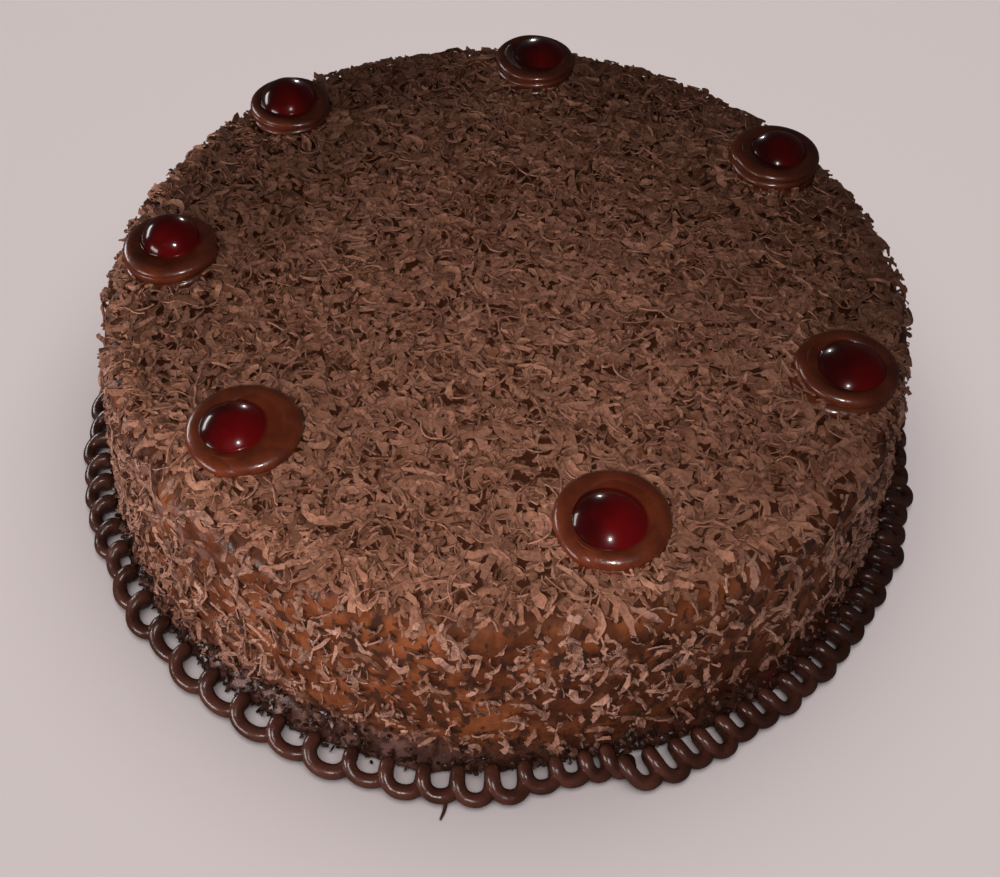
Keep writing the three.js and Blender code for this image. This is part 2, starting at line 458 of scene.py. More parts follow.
# For each place: the angle and distance from the middle, the outer radius and height of the
# ring, the radius of the cherry, how far it stands above the glaze and how far it sits off
# the ring's middle (outwards, sideways), the angle where the coil ends, its laps, half its
# rope's height, where its lowest lap swells and where its top lap is wide.
placeKeys = (
    "angle", "out", "ring", "height", "fruit", "cap", "off",
    "end", "laps", "rope", "swell", "widen",
)
placeRows = (
    (135.9, 0.1014, 0.0129, 0.0064, 0.0092, 0.0054, (0.0012, -0.0001),
     -20, 3.1, 0.0016, (210, 0.0004), (0, 0)),
    (86, 0.1, 0.0131, 0.0066, 0.0089, 0.0034, (0.002, -0.0012),
     200, 3.1, 0.0016, (250, 0.0008), (0, 0)),
    (32, 0.0989, 0.0137, 0.0072, 0.0087, 0.004, (0.0012, 0.0003),
     215, 3.1, 0.0017, (235, 0.0011), (0, 0)),
    (-21.5, 0.1005, 0.0139, 0.0056, 0.0093, 0.0035, (0.0011, 0),
     200, 2.2, 0.0019, (228, 0.0028), (0, 0)),
    (-72.7, 0.0935, 0.0147, 0.0054, 0.0094, 0.0035, (0.0009, -0.0012),
     268, 2.15, 0.0021, (225, 0.0004), (60, 0.0004)),
    (-135.8, 0.0932, 0.0147, 0.0052, 0.0088, 0.0035, (0.0021, -0.0016),
     290, 2.15, 0.0021, (215, 0.0003), (0, 0.0012)),
    (179.8, 0.0982, 0.0135, 0.0068, 0.0086, 0.0056, (0.0002, -0.0023),
     20, 2.6, 0.0019, (240, 0.0006), (0, 0)),
)
places = [dict(zip(placeKeys, row)) for row in placeRows]
rosettes = {
    "cakeTop": 0.067,
    "gap": 0.0003,
    "sink": 0.0018,
    "overlap": 0.0006,
    "levelTurns": (1.0, 1.1),
    "stepsPerLap": 44,
    "sides": 14,
    "wobble": (0.013, 0.00044),
    "unevenRope": (0.02, 0.06),
    "widenOut": 0.3,
    "tipFrom": 0.09,
    "tipLeast": 0.35,
    "tipInFrom": 0.25,
    "tipIn": 0.0011,
    "tipDrop": 0.4,
    "startLeast": 0.5,
    "startRun": 0.03,
}


def placeCentre(place):
    turn = math.radians(place["angle"])
    return Vector((place["out"] * math.cos(turn), place["out"] * math.sin(turn), 0))


def ringTop(place):
    return rosettes["cakeTop"] + rosettes["gap"] + place["height"]


def sweptRope(name, points, radii, sides, flat=1.0):
    line = bpy.data.curves.new(name, "CURVE")
    line.dimensions = "3D"
    line.twist_mode = "Z_UP"
    line.bevel_depth = 1
    line.bevel_resolution = max(0, sides // 2 - 2)
    line.use_fill_caps = True
    spline = line.splines.new("POLY")
    spline.points.add(len(points) - 1)
    for spot, co, radius in zip(spline.points, points, radii):
        spot.co = (co[0], co[1], co[2] / flat, 1)
        spot.radius = radius
    carrier = bpy.data.objects.new(name, line)
    scene.collection.objects.link(carrier)
    mesh = bpy.data.meshes.new_from_object(carrier)
    mesh.transform(Matrix.Diagonal((1, 1, flat, 1)))
    bpy.data.objects.remove(carrier)
    bpy.data.curves.remove(line)
    bm = bmesh.new()
    bm.from_mesh(mesh)
    bmesh.ops.remove_doubles(bm, verts=bm.verts[:], dist=mergeWithin)
    bpy.data.meshes.remove(mesh)
    return meshFrom(bm, name)


def coilRosette(place, number):
    centre = placeCentre(place)
    low = rosettes["cakeTop"] - rosettes["sink"] + place["rope"]
    high = ringTop(place) - place["rope"]
    half = (place["ring"] - place["fruit"] + rosettes["overlap"]) / 2
    swellAt, swell = place["swell"]
    widenAt, widen = place["widen"]
    lastLap, climb = rosettes["levelTurns"]
    wobbleGrain, wobble = rosettes["wobble"]
    ropeGrain, ropeSpread = rosettes["unevenRope"]
    steps = int(place["laps"] * rosettes["stepsPerLap"])
    points, radii = [], []
    for i in range(steps + 1):
        share = i / steps
        left = (1 - share) * place["laps"]
        angle = place["end"] - 360 * left
        level = 1 - min(1, max(0, left - lastLap) / (place["laps"] - climb))
        near = max(0, math.cos(math.radians(angle - swellAt)))
        wide = widen * max(0, math.cos(math.radians(angle - widenAt)))
        across = place["ring"] - half + swell * near * (1 - level)
        across += wobble * noise.noise((angle * wobbleGrain, number * 7.0, 0))
        tip = smoothStep(left, 0.0, rosettes["tipFrom"])
        tipIn = smoothStep(left, rosettes["tipInFrom"], 0.0) * rosettes["tipIn"]
        uneven = 1 + ropeSpread * noise.noise((angle * ropeGrain, number * 3.0, 5))
        radius = half * (rosettes["tipLeast"] + (1 - rosettes["tipLeast"]) * tip) * uneven
        radius += wide * level / 2
        begun = smoothStep(share, -rosettes["startRun"], rosettes["startRun"])
        radius *= begun * (1 - rosettes["startLeast"]) + rosettes["startLeast"]
        across += wide * rosettes["widenOut"] + tipIn
        turn = math.radians(angle)
        thicker = wide * level / 2 * place["rope"] / half
        height = low + (high - low) * level - tipIn * rosettes["tipDrop"] - thicker
        points.append((centre.x + across * math.cos(turn), centre.y + across * math.sin(turn), height))
        radii.append(radius)
    return sweptRope(f"rosette{number}", points, radii, rosettes["sides"], place["rope"] / half)


cream = {
    "tones": ((0.07, 0.0125, 0.0042), (0.105, 0.02, 0.0068)),
    "grain": 0.006,
    "roughness": (0.003, 0.36, 0.27),
    "bump": (0.0012, 0.00012),
}


def creamTone(look):
    return look.mix(look.mottle(cream["grain"]), *cream["tones"])


def rosetteFinish():
    look = Finish("pipedCream")
    look.colour(creamTone(look))
    look.roughness(look.mottle(*cream["roughness"]))
    look.put(Specular_IOR_Level=0.45, Coat_Weight=0.5, Coat_Roughness=0.16)
    return look.bumpy(cream["bump"]).material


# A cherry is a low round cap whose edge lies just under the ring's top, and the glaze
# fills the hollow round it up to the middle of the ring's rope.
cherries = {
    "edge": 0.0007,
    "dip": 0.0001,
    "skirt": 0.003,
    "under": 0.003,
    "baseShare": 0.8,
    "shoulder": (0.98, 0.0011),
    "lip": 0.0004,
    "leastSkirt": 0.0004,
    "uneven": 0.02,
    "unevenGrain": 110,
    "redEdge": (0.985, 1.05),
    "fleshShadeToGlow": ((0.022, 0.0009, 0.001), (0.095, 0.0016, 0.0022)),
    "clouds": (0.005, 0.5),
    "lit": (0.4, 1.0),
    "roughness": (0.3, 0.2),
    "turnSteps": 64,
    "domeSteps": 16,
    "skirtSteps": 6,
}


def cherryOutline(place):
    top = ringTop(place)
    fruit, skirt, edge = place["fruit"], cherries["skirt"], cherries["edge"]
    outer = fruit + skirt
    rise = place["cap"] + edge
    bend = (fruit**2 + rise**2) / (2 * rise)
    inward, drop = cherries["shoulder"]
    outline = [(0, top - cherries["under"]), (fruit * cherries["baseShare"], top - cherries["under"])]
    outline += [(outer * inward, top - drop), (outer, top - cherries["lip"])]
    for i in range(1, cherries["skirtSteps"] + 1):
        share = 1 - i / cherries["skirtSteps"]
        fall = edge * (1 - share) ** 2 + cherries["dip"] * (1 + share**2)
        outline.append((fruit + skirt * share, top - fall))
    widest = math.asin(fruit / bend)
    for i in range(1, cherries["domeSteps"] + 1):
        lean = widest * (1 - i / cherries["domeSteps"])
        outline.append((bend * math.sin(lean), top + place["cap"] - bend * (1 - math.cos(lean))))
    return outline


def glazeCherry(place, number):
    turn = Matrix.Rotation(math.radians(place["angle"]), 3, "Z")
    off = turn @ Vector((*place["off"], 0))
    seat = placeCentre(place) + off
    fruit, skirt = place["fruit"], cherries["skirt"]
    middle = (place["ring"] + fruit) / 2
    grain = cherries["unevenGrain"]
    bm = spinOutline(cherryOutline(place), cherries["turnSteps"])
    for vert in bm.verts:
        x, y, z = vert.co
        across = math.hypot(x, y)
        scale = 1 + cherries["uneven"] * noise.noise((x * grain, y * grain, z * grain + number * 5))
        if across > fruit + mergeWithin:
            along = (Vector((x, y, 0)) / across).dot(off)
            reach = math.sqrt(max(0, middle**2 - off.length_squared + along**2)) - along
            share = (across - fruit) / skirt
            scale = (fruit + share * max(reach - fruit, cherries["leastSkirt"])) / across
        vert.co = (x * scale, y * scale, z)
    bmesh.ops.translate(bm, verts=bm.verts[:], vec=seat)
    mesh = meshFrom(bm, f"cherry{number}")
    spots = np.array([v.co[:] for v in mesh.vertices]) - np.array(seat)
    whole, none = cherries["redEdge"]
    red = 1 - smoothStep(np.hypot(spots[:, 0], spots[:, 1]), fruit * whole, fruit * none)
    # The second channel runs from the cherry's left to its right, for its painted shade and painted
    # glow.
    redAndGlowSide = np.stack([red, spots[:, 0] / fruit * 0.5 + 0.5, red * 0, red * 0 + 1], -1)
    layer = mesh.attributes.new("redAndGlowSide", "FLOAT_COLOR", "POINT")
    layer.data.foreach_set("color", redAndGlowSide.ravel())
    return mesh


def cherryFinish():
    look = Finish("glazedCherry")
    red, across, _ = look.split(look.attribute("redAndGlowSide"))
    grain, share = cherries["clouds"]
    clouds = look.times(look.noise(grain), share)
    # Painted light: the flesh is painted darker on the left as shade and glowing red on the right as
    # light through the fruit.
    lit = look.band(look.math("ADD", across, clouds), *cherries["lit"])
    look.colour(look.mix(red, creamTone(look), look.mix(lit, *cherries["fleshShadeToGlow"])))
    look.roughness(look.band(red, 0.0, 1.0, *cherries["roughness"]))
    look.put(Specular_IOR_Level=0.14, Coat_Weight=0.6, Coat_Roughness=0.02, Coat_IOR=1.45)
    return look.material


creamFinish, cherryGlaze = rosetteFinish(), cherryFinish()
for number, place in enumerate(places, 1):
    ring, fruit = coilRosette(place, number), glazeCherry(place, number)
    addPiece(f"piped_rosette_{number}", ring, creamFinish, "piped_rosette", f"rosette_{number}")
    addPiece(f"glazed_cherry_{number}", fruit, cherryGlaze, "cherry_glaze", f"cherry_{number}")
print("rosettes and cherries are made")

# The cord starts at the seam and runs counter-clockwise. The loops are closer before and
# after the seam, and wider where the cord passes the left of the cake.
loops = {
    "rope": 0.00206,
    "seam": 286.3,
    "rightLoops": 21,
    "rightPitch": 3.49,
    "frontFrom": 190,
    "frontPitch": 3.7,
    "wider": (1.75, 238, 26),
    "closer": (1.3, 281, 287),
    "backLoops": 45,
    "reach": 0.1364,
    "reachRight": (0.1351, 0.0024, 12),
    "reachMiddle": 1.5,
    "frontGap": 0.9,
    "reachDrop": (0.0053, 263, 288),
    "swing": 1.36,
    "roundness": 0.25,
    "seamLean": 0.0014,
    "seamLeanRun": 14,
    "lean": 0.0003,
    "lift": 0.0025,
    "turnPhase": 0.7,
    "fallPhases": (1.1, 2.9),
    "stepsPerLoop": 36,
    "sides": 12,
    "reachSpread": 0.0006,
    "pitchSpread": 0.05,
    "ropeSpread": 0.12,
    "ropeGrain": 0.9,
    "tones": ((0.031, 0.0096, 0.0063), (0.056, 0.0182, 0.012)),
    "toneGrain": 0.008,
    "roughness": (0.004, 0.34, 0.22),
    "bump": (0.0013, 0.00015),
}


def loopTable():
    right = [loops["rightPitch"]] * loops["rightLoops"]
    front, angle = [], loops["seam"] + loops["frontGap"]
    more, middle, width = loops["wider"]
    less, low, high = loops["closer"]
    while angle > loops["frontFrom"]:
        pitch = loops["frontPitch"] + more * hump(angle, middle, width)
        pitch -= less * smoothStep(angle, low, high)
        front.insert(0, pitch)
        angle -= pitch
    back = [(angle + 360 - loops["seam"] - sum(right)) / loops["backLoops"]] * loops["backLoops"]
    rows, start = [], loops["seam"]
    drop, low, high = loops["reachDrop"]
    least, more, width = loops["reachRight"]
    for pitch in right + back + front:
        middle = (start + pitch / 2) % 360
        reach = loops["reach"] - drop * smoothStep(middle, low, high)
        if len(rows) < len(right):
            reach = least + more * hump(middle, loops["seam"] + loops["reachMiddle"], width)
        reach += chance.normal(0, loops["reachSpread"])
        rows.append((start + chance.normal(0, loops["pitchSpread"]), pitch, reach))
        start += pitch
    return rows


def loopPath():
    points, radii = [], []
    rows = loopTable()
    for number, (start, pitch, reach) in enumerate(rows):
        steps = loops["stepsPerLoop"] + (number == len(rows) - 1)
        after = rows[(number + 1) % len(rows)][0]
        pitch = after - start if number < len(rows) - 1 else pitch
        for i in range(steps):
            phase = 2 * math.pi * i / loops["stepsPerLoop"]
            part = (1 - math.cos(phase)) / 2
            swing = phase - loops["swing"] * math.sin(phase) + loops["roundness"] * math.sin(2 * phase)
            angle = start + pitch * swing / (2 * math.pi)
            inner = headLine(angle) + loops["rope"]
            across = inner + (reach - loops["rope"] - inner) * part
            atSeam = hump(angle, loops["seam"], loops["seamLeanRun"])
            lean = loops["lean"] + loops["seamLean"] * atSeam
            turn = math.radians(angle + math.degrees(lean / across) * part)
            fromFoot = phase - 2 * math.pi if phase > math.pi else phase
            rise = smoothStep(fromFoot, -loops["turnPhase"], loops["turnPhase"])
            fall = smoothStep(fromFoot, *loops["fallPhases"])
            along = number + i / loops["stepsPerLoop"]
            uneven = noise.noise((along * loops["ropeGrain"], 3.1, 0))
            radius = loops["rope"] * (1 + loops["ropeSpread"] * uneven)
            height = radius + loops["lift"] * (rise - fall)
            points.append((across * math.cos(turn), across * math.sin(turn), height))
            radii.append(radius)
    return points, radii


def loopFinish():
    look = Finish("darkPipedGanache")
    look.colour(look.mix(look.mottle(loops["toneGrain"]), *loops["tones"]))
    look.roughness(look.mottle(*loops["roughness"]))
    look.put(Specular_IOR_Level=0.5, Coat_Weight=0.45, Coat_Roughness=0.15)
    return look.bumpy(loops["bump"]).material


cordFinish = loopFinish()
cordMesh = sweptRope("loopedCord", *loopPath(), loops["sides"])
addPiece("looped_cord", cordMesh, cordFinish, "piped_cord", "piped_border")

# A thin thread of ganache was drawn out of the cord where the bag was pulled away.
tail = {
    "angle": 264.8,
    "near": 0.1325,
    "far": 0.1398,
    "bend": 0.0008,
    "radius": (0.0008, 0.0003),
    "steps": 12,
    "sides": 8,
}


def tailPath():
    points, radii = [], []
    thick, thin = tail["radius"]
    turn = math.radians(tail["angle"])
    for i in range(tail["steps"] + 1):
        share = i / tail["steps"]
        across = tail["near"] + (tail["far"] - tail["near"]) * share
        aside = tail["bend"] * math.sin(math.pi * share)
        radius = thick + (thin - thick) * share
        points.append((across * math.cos(turn) + aside, across * math.sin(turn), radius))
        radii.append(radius)
    return points, radii


addPiece("cord_tail", sweptRope("cordTail", *tailPath(), tail["sides"]), cordFinish, "piped_cord")
print("looped cord is made")

# Each kind has a few shapes that are laid down many times. Lengths are in metres, and a slope
# has its share of the pieces and the angles between which the ribbon leans.
curls = {
    "shapes": 30,
    "radius": (0.0014, 0.004),
    "sweep": (90, 230),
    "width": (0.0012, 0.0022),
    "slopes": ((0.4, 0, 30), (0.35, 40, 80), (0.25, -70, -25)),
    "rise": (0.0, 0.0026),
    "thick": (0.00028, 0.00045),
    "ragged": 0.22,
    "steps": 9,
}
strips = {
    "shapes": 26,
    "radius": (0.0045, 0.015),
    "length": (0.004, 0.011),
    "width": (0.0011, 0.0021),
    "slopes": ((0.5, 0, 35), (0.5, 40, 80)),
    "rise": (0.0, 0.0022),
    "thick": (0.00028, 0.00045),
    "ragged": 0.24,
    "steps": 8,
}
slivers = {
    "shapes": 16,
    "radius": (0.002, 0.006),
    "length": (0.002, 0.0045),
    "width": (0.0005, 0.0012),
    "slopes": ((0.6, 0, 40), (0.4, 40, 85)),
    "rise": (0.0, 0.001),
    "thick": (0.00022, 0.0004),
    "ragged": 0.2,
    "steps": 3,
}
flakes = {
    "shapes": 18,
    "size": (0.0014, 0.0034),
    "thick": (0.00028, 0.0005),
    "corners": 6,
    "bend": 0.0007,
    "longer": (0.8, 1.7),
    "corner": (0.7, 1.15),
    "bendShare": (0.3, 1.2),
}
ribbon = {
    "twist": 0.4,
    "wind": 0.25,
    "tightest": -0.25,
    "endWidth": 0.62,
    "endRun": (0.06, 0.88),
    "rough": 0.0001,
}


def between(pair):
    return chance.uniform(*pair)


def pickSlope(slopes):
    pick = chance.random()
    for share, low, high in slopes:
        if pick < share:
            return math.radians(chance.uniform(low, high))
        pick -= share
    return 0.0


def shapeArrays(bm, edge):
    bmesh.ops.recalc_face_normals(bm, faces=bm.faces[:])
    bmesh.ops.triangulate(bm, faces=bm.faces[:])
    bm.verts.index_update()
    verts = np.array([v.co[:] for v in bm.verts])
    faces = np.array([[v.index for v in face.verts] for face in bm.faces])
    bm.free()
    centre = (verts.max(0) + verts.min(0)) / 2
    verts = verts - centre
    samples = np.concatenate([verts, verts[faces].mean(1)])
    longest = np.linalg.eigh(np.cov(verts[:, :2].T))[1][:, 1]
    return {"verts": verts, "faces": faces, "edge": np.array(edge), "samples": samples,
            "long": math.atan2(longest[1], longest[0])}


def curlShape(kind, radius, sweep):
    bm = bmesh.new()
    slope, width, rise = pickSlope(kind["slopes"]), between(kind["width"]), between(kind["rise"])
    across = Vector((math.cos(slope), 0, math.sin(slope))) * width / 2
    middle = Vector((radius, 0, 0))
    first, second = bm.verts.new(middle - across), bm.verts.new(middle + across)
    edge = bm.edges.new((first, second))
    bmesh.ops.spin(bm, geom=[first, second, edge], axis=(0, 0, 1), cent=(0, 0, 0), angle=sweep,
                   steps=kind["steps"], dvec=(0, 0, rise / kind["steps"]))
    twist = chance.normal(0, ribbon["twist"])
    wind = max(ribbon["tightest"], chance.normal(0, ribbon["wind"]))
    begun, run = ribbon["endRun"]
    for vert in bm.verts:
        share = (math.atan2(vert.co.y, vert.co.x) % (2 * math.pi)) / sweep
        # The first row's angle may come out as a whole turn.
        share = 0 if share > 1.02 else share
        turned = share * sweep
        centre = Vector((radius * math.cos(turned), radius * math.sin(turned), rise * share))
        ragged = 1 + chance.normal(0, kind["ragged"])
        full = math.sqrt(max(0, math.sin(math.pi * min(1, begun + share * run))))
        taper = ribbon["endWidth"] + (1 - ribbon["endWidth"]) * full
        offset = (vert.co - centre) * taper * ragged
        axis = Vector((-math.sin(turned), math.cos(turned), 0))
        unwound = Vector((centre.x * (1 + wind * share), centre.y * (1 + wind * share), centre.z))
        vert.co = unwound + Matrix.Rotation(twist * (share - 0.5), 3, axis) @ offset
        vert.co += Vector(chance.normal(0, ribbon["rough"], 3))
    bmesh.ops.solidify(bm, geom=bm.faces[:], thickness=between(kind["thick"]))
    # Inner edges are marked 0 and outer edges 1: the outer edge is painted paler, partly a real pale
    # broken edge and partly a painted highlight, and the inner edge darker as painted shade inside the
    # curl.
    return shapeArrays(bm, [0.0 if v.co.xy.length < radius else 1.0 for v in bm.verts])


def flakeShape(kind):
    bm = bmesh.new()
    size = between(kind["size"]) / 2
    bmesh.ops.create_circle(bm, cap_ends=True, segments=kind["corners"], radius=size)
    length = between(kind["longer"])
    for vert in bm.verts:
        vert.co.x *= length
        vert.co.xy *= between(kind["corner"])
        vert.co.z = kind["bend"] * (vert.co.x / size / length) ** 2 * between(kind["bendShare"])
    bmesh.ops.triangulate(bm, faces=bm.faces[:])
    bmesh.ops.solidify(bm, geom=bm.faces[:], thickness=between(kind["thick"]))
    return shapeArrays(bm, [0.5] * len(bm.verts))


def arcShapes(kind):
    made = []
    for _ in range(kind["shapes"]):
        bend = between(kind["radius"])
        if "sweep" in kind:
            sweep = math.radians(between(kind["sweep"]))
        else:
            sweep = between(kind["length"]) / bend
        made.append(curlShape(kind, bend, sweep))
    return made


curlShapes, stripShapes, sliverShapes = arcShapes(curls), arcShapes(strips), arcShapes(slivers)
flakeShapes = [flakeShape(flakes) for _ in range(flakes["shapes"])]

# Pieces are laid one by one on a height map, so that each lies on those before it. One map
# covers the top, and another is wrapped round the rim and the side.
pile = {
    "cell": 0.001,
    "mapSize": 0.27,
    "rowsBefore": 5,
    "rowsMore": 12,
    "tries": 12,
    "restShare": 0.72,
    "sideRestShare": 0.68,
    "pressIn": 0.0001,
    "topLimit": 0.0042,
    "nearRing": (0.0016, 0.004),
    "sideLimit": 0.003,
    "topReach": 0.1105,
    "rimBand": (-0.0005, -0.0045),
    "rimReach": (0.0042, 0.0034, 0.0014),
    "rimGrain": 0.14,
    "rimFade": (-0.0008, 0.001),
    "sideBand": (0.004, -0.002),
    "clearOfFoot": 0.0005,
    "barePatch": (228, 10),
    "bareFrom": (0.03, 0.042),
    "bareShare": 0.42,
    "sideShares": {"all": 0.4, "left": 0.6, "upper": 0.12, "right": 0.1},
    "leftAngle": 195,
    "rightAngle": 320,
    "upperFrom": (0.036, 0.058),
    "lowTo": (0.004, 0.0115),
    "lowShare": 0.35,
    "tilt": 25,
    "sideTilt": 26,
    "hang": 38,
    "clearOfRing": -0.0027,
    "paintedFootShade": 0.8,
    "footShadeTo": (0.004, 0.022),
}
cell = pile["cell"]
mapHalf = pile["mapSize"] / 2
topCount = int(pile["mapSize"] / cell)
topEdges = (np.arange(topCount) + 0.5) * cell - mapHalf
farOut = np.hypot(*np.meshgrid(topEdges, topEdges, indexing="ij"))
overRim = np.clip((farOut - flatEnd) / body["rimRound"], 0, 1)
topPile = body["height"] - body["rimRound"] * (1 - np.sqrt(np.clip(1 - overRim**2, 0, 1)))
topPile[farOut > body["rimRadius"]] = 0.0
sideTurns = int(2 * math.pi * body["rimRadius"] / cell)
sideRows = int((sideEnd - flatEnd) / cell) + pile["rowsMore"]
sidePile = np.zeros((sideTurns, sideRows))
ringCentres = np.array([placeCentre(p).xy[:] for p in places])
ringRadii = np.array([p["ring"] for p in places])


def randomTurn(tilt, yaw=None):
    yaw = chance.uniform(0, 2 * math.pi) if yaw is None else yaw
    turn = Matrix.Rotation(yaw, 3, "Z")
    turn = Matrix.Rotation(math.radians(chance.normal(0, tilt)), 3, "X") @ turn
    turn = Matrix.Rotation(math.radians(chance.normal(0, tilt)), 3, "Y") @ turn
    if chance.random() < 0.5:
        turn = turn @ Matrix.Rotation(math.pi, 3, "X")
    return np.array(turn)


def topHeight(radius):
    over = max(0, (radius - flatEnd) / body["rimRound"])
    return body["height"] - body["rimRound"] * (1 - math.sqrt(max(0, 1 - over**2)))


def layOnTop(shape, size):
    more, fade = pile["nearRing"]
    for _ in range(pile["tries"]):
        radius = pile["topReach"] * math.sqrt(chance.random())
        angle = chance.uniform(0, 2 * math.pi)
        spot = np.array([radius * math.cos(angle), radius * math.sin(angle)])
        turn = randomTurn(pile["tilt"])
        samples = shape["samples"] @ turn.T * size
        flat = samples[:, :2] + spot
        away = flat[:, None, :] - ringCentres[None]
        near = (np.hypot(*away.transpose(2, 0, 1)) - ringRadii).min()
        if near < pile["clearOfRing"]:
            continue
        cells = np.clip(((flat + mapHalf) / cell).astype(int), 0, topCount - 1)
        ground = topPile[cells[:, 0], cells[:, 1]]
        lift = np.quantile(ground - samples[:, 2], pile["restShare"])
        base = topHeight(radius)
        limit = pile["topLimit"] + more * hump(max(0, near), 0, fade)
        if lift + samples[:, 2].max() > base + limit:
            continue
        np.maximum.at(topPile, (cells[:, 0], cells[:, 1]), lift + samples[:, 2] - pile["pressIn"])
        verts = shape["verts"] @ turn.T * size
        return verts + [spot[0], spot[1], lift], (lift - base) / pile["topLimit"]
    return None, 0


def barePatch(angle):
    return hump(angle, *pile["barePatch"])


def sideShare(angle, along):
    shares = pile["sideShares"]
    height = skinHeight(along)
    left = max(0, math.cos(math.radians(angle - pile["leftAngle"])))
    right = max(0, math.cos(math.radians(angle - pile["rightAngle"])))
    upper = smoothStep(height, *pile["upperFrom"])
    low = smoothStep(height, *pile["lowTo"])
    bare = barePatch(angle) * smoothStep(height, *pile["bareFrom"])
    share = shares["all"] + shares["left"] * left + shares["upper"] * upper + shares["right"] * right
    kept = pile["lowShare"] + (1 - pile["lowShare"]) * max(low, left**2)
    return share * (1 - pile["bareShare"] * bare) * kept


def rimShare(angle, along):
    reach, uneven, bare = pile["rimReach"]
    edge = flatEnd + reach + uneven * noise.noise((angle * pile["rimGrain"], 5.0, 0.0))
    edge -= bare * barePatch(angle)
    before, after = pile["rimFade"]
    return 1 - smoothStep(along, edge + before, edge + after)


def layOnRim(shape, size):
    first, last = pile["rimBand"]
    return layRound(shape, size, flatEnd + first, rimEnd + last, rimShare)


def layOnSide(shape, size):
    first, last = pile["sideBand"]
    return layRound(shape, size, flatEnd + first, sideEnd + last, sideShare)


def layRound(shape, size, nearest, farthest, share):
    for _ in range(pile["tries"]):
        angle = chance.uniform(0, 360)
        along = chance.uniform(nearest, farthest)
        if chance.random() > share(angle, along):
            continue
        hang = math.radians(90 + chance.normal(0, pile["hang"])) - shape["long"]
        turn = randomTurn(pile["sideTilt"], hang)
        samples = shape["samples"] @ turn.T * size
        radius = skinRadius(along)
        angles = angle + np.degrees(samples[:, 0] / radius)
        alongs = along + samples[:, 1]
        columns = ((angles % 360) / 360 * sideTurns).astype(int) % sideTurns
        rows = ((alongs - flatEnd) / cell).astype(int) + pile["rowsBefore"]
        rows = np.clip(rows, 0, sideRows - 1)
        ground = sidePile[columns, rows]
        lift = np.quantile(ground - samples[:, 2], pile["sideRestShare"]) - pile["pressIn"]
        tooHigh = lift + samples[:, 2].max() > pile["sideLimit"]
        if tooHigh or alongs.max() > sideEnd - pile["clearOfFoot"]:
            continue
        np.maximum.at(sidePile, (columns, rows), lift + samples[:, 2] - pile["pressIn"])
        verts = shape["verts"] @ turn.T * size
        turned = angle + np.degrees(verts[:, 0] / radius)
        # Painted shade: side pieces get darker towards the foot.
        wet = pile["paintedFootShade"] * (1 - smoothStep(skinHeight(along), *pile["footShadeTo"]))
        return skinAt(turned, along + verts[:, 1], verts[:, 2] + lift), lift / pile["sideLimit"] - wet
    return None, 0


# Pieces that lie lower in the pile are darker, a painted shade under the pieces above, and side
#  pieces are painted darker towards the foot as shade; each also has its own tone and hue.
tones = {
    "middle": 0.36,
    "higher": 0.4,
    "spread": 0.24,
}


def scatter(name, shapes, count, lay, sizes, material):
    points, faces, colours = [], [], []
    start = 0
    for _ in range(count):
        shape = shapes[chance.integers(len(shapes))]
        verts, depth = lay(shape, chance.uniform(*sizes))
        if verts is None:
            continue
        # Painted shade: lower pieces get darker tones.
        middle = tones["middle"] + tones["higher"] * np.clip(depth, -1, 1)
        tone = np.clip(chance.normal(middle, tones["spread"]), 0, 1)
        hue = chance.random()
        points.append(verts)
        faces.append(shape["faces"] + start)
        flat = np.ones(len(verts))
        colours.append(np.stack([flat * tone, shape["edge"], flat * hue, flat], -1))
        start += len(verts)
    mesh = bpy.data.meshes.new(name)
    mesh.from_pydata(np.concatenate(points), [], np.concatenate(faces))
    layer = mesh.attributes.new("tone", "FLOAT_COLOR", "POINT")
    layer.data.foreach_set("color", np.concatenate(colours).ravel().astype(np.float32))
    addPiece(name, mesh, material, "ganache")
    print(name, "holds", len(points), "pieces and", len(mesh.polygons), "triangles")


shavings = {
    "dry": ((0.073, 0.0203, 0.0075), (0.352, 0.162, 0.106)),
    "stuck": ((0.11, 0.043, 0.027), (0.37, 0.205, 0.157)),
    "hue": (0.19, 0.083, 0.047),
    "hueShare": 0.3,
    "dust": (0.085, 0.026, 0.0115),
    "dustGrain": 0.0012,
    "dustBand": (0.34, 0.72, 0.0, 0.45),
    "edge": (0.42, 0.23, 0.165),
    "edgeShare": 0.16,
    "wet": (0.045, 0.019, 0.013),
    "wetGrain": 0.0028,
    "wetBand": (0.54, 0.64, 0.0, 0.6),
    "roughness": 0.65,
    "stuckRoughness": 0.6,
    "wetSmoother": 0.25,
    "bumps": ((0.0026, 0.0006), (0.0008, 0.00025)),
}


def shavingFinish(name, stuck):
    look = Finish(name)
    tone, edge, hue = look.split(look.attribute("tone"))
    base = look.mix(tone, *shavings["stuck" if stuck else "dry"])
    base = look.mix(look.times(hue, shavings["hueShare"]), base, shavings["hue"])
    dust = look.band(look.noise(shavings["dustGrain"], 3), *shavings["dustBand"])
    base = look.mix(dust, base, shavings["dust"])
    # Outer ribbon edges are paler, partly a real pale broken edge and partly a painted highlight, with
    # painted shade on the inner edge.
    base = look.mix(look.times(edge, shavings["edgeShare"]), base, shavings["edge"])
    if stuck:
        wet = look.band(look.noise(shavings["wetGrain"]), *shavings["wetBand"])
        base = look.mix(wet, base, shavings["wet"])
        smoother = look.times(wet, shavings["wetSmoother"])
        look.roughness(look.math("SUBTRACT", shavings["stuckRoughness"], smoother))
    else:
        look.put(Roughness=shavings["roughness"])
    look.colour(base)
    look.put(Specular_IOR_Level=0.12)
    return look.bumpy(*shavings["bumps"]).material


dry, stuck = shavingFinish("gratedChocolate", False), shavingFinish("stuckChocolate", True)
ribbonShapes = stripShapes + curlShapes
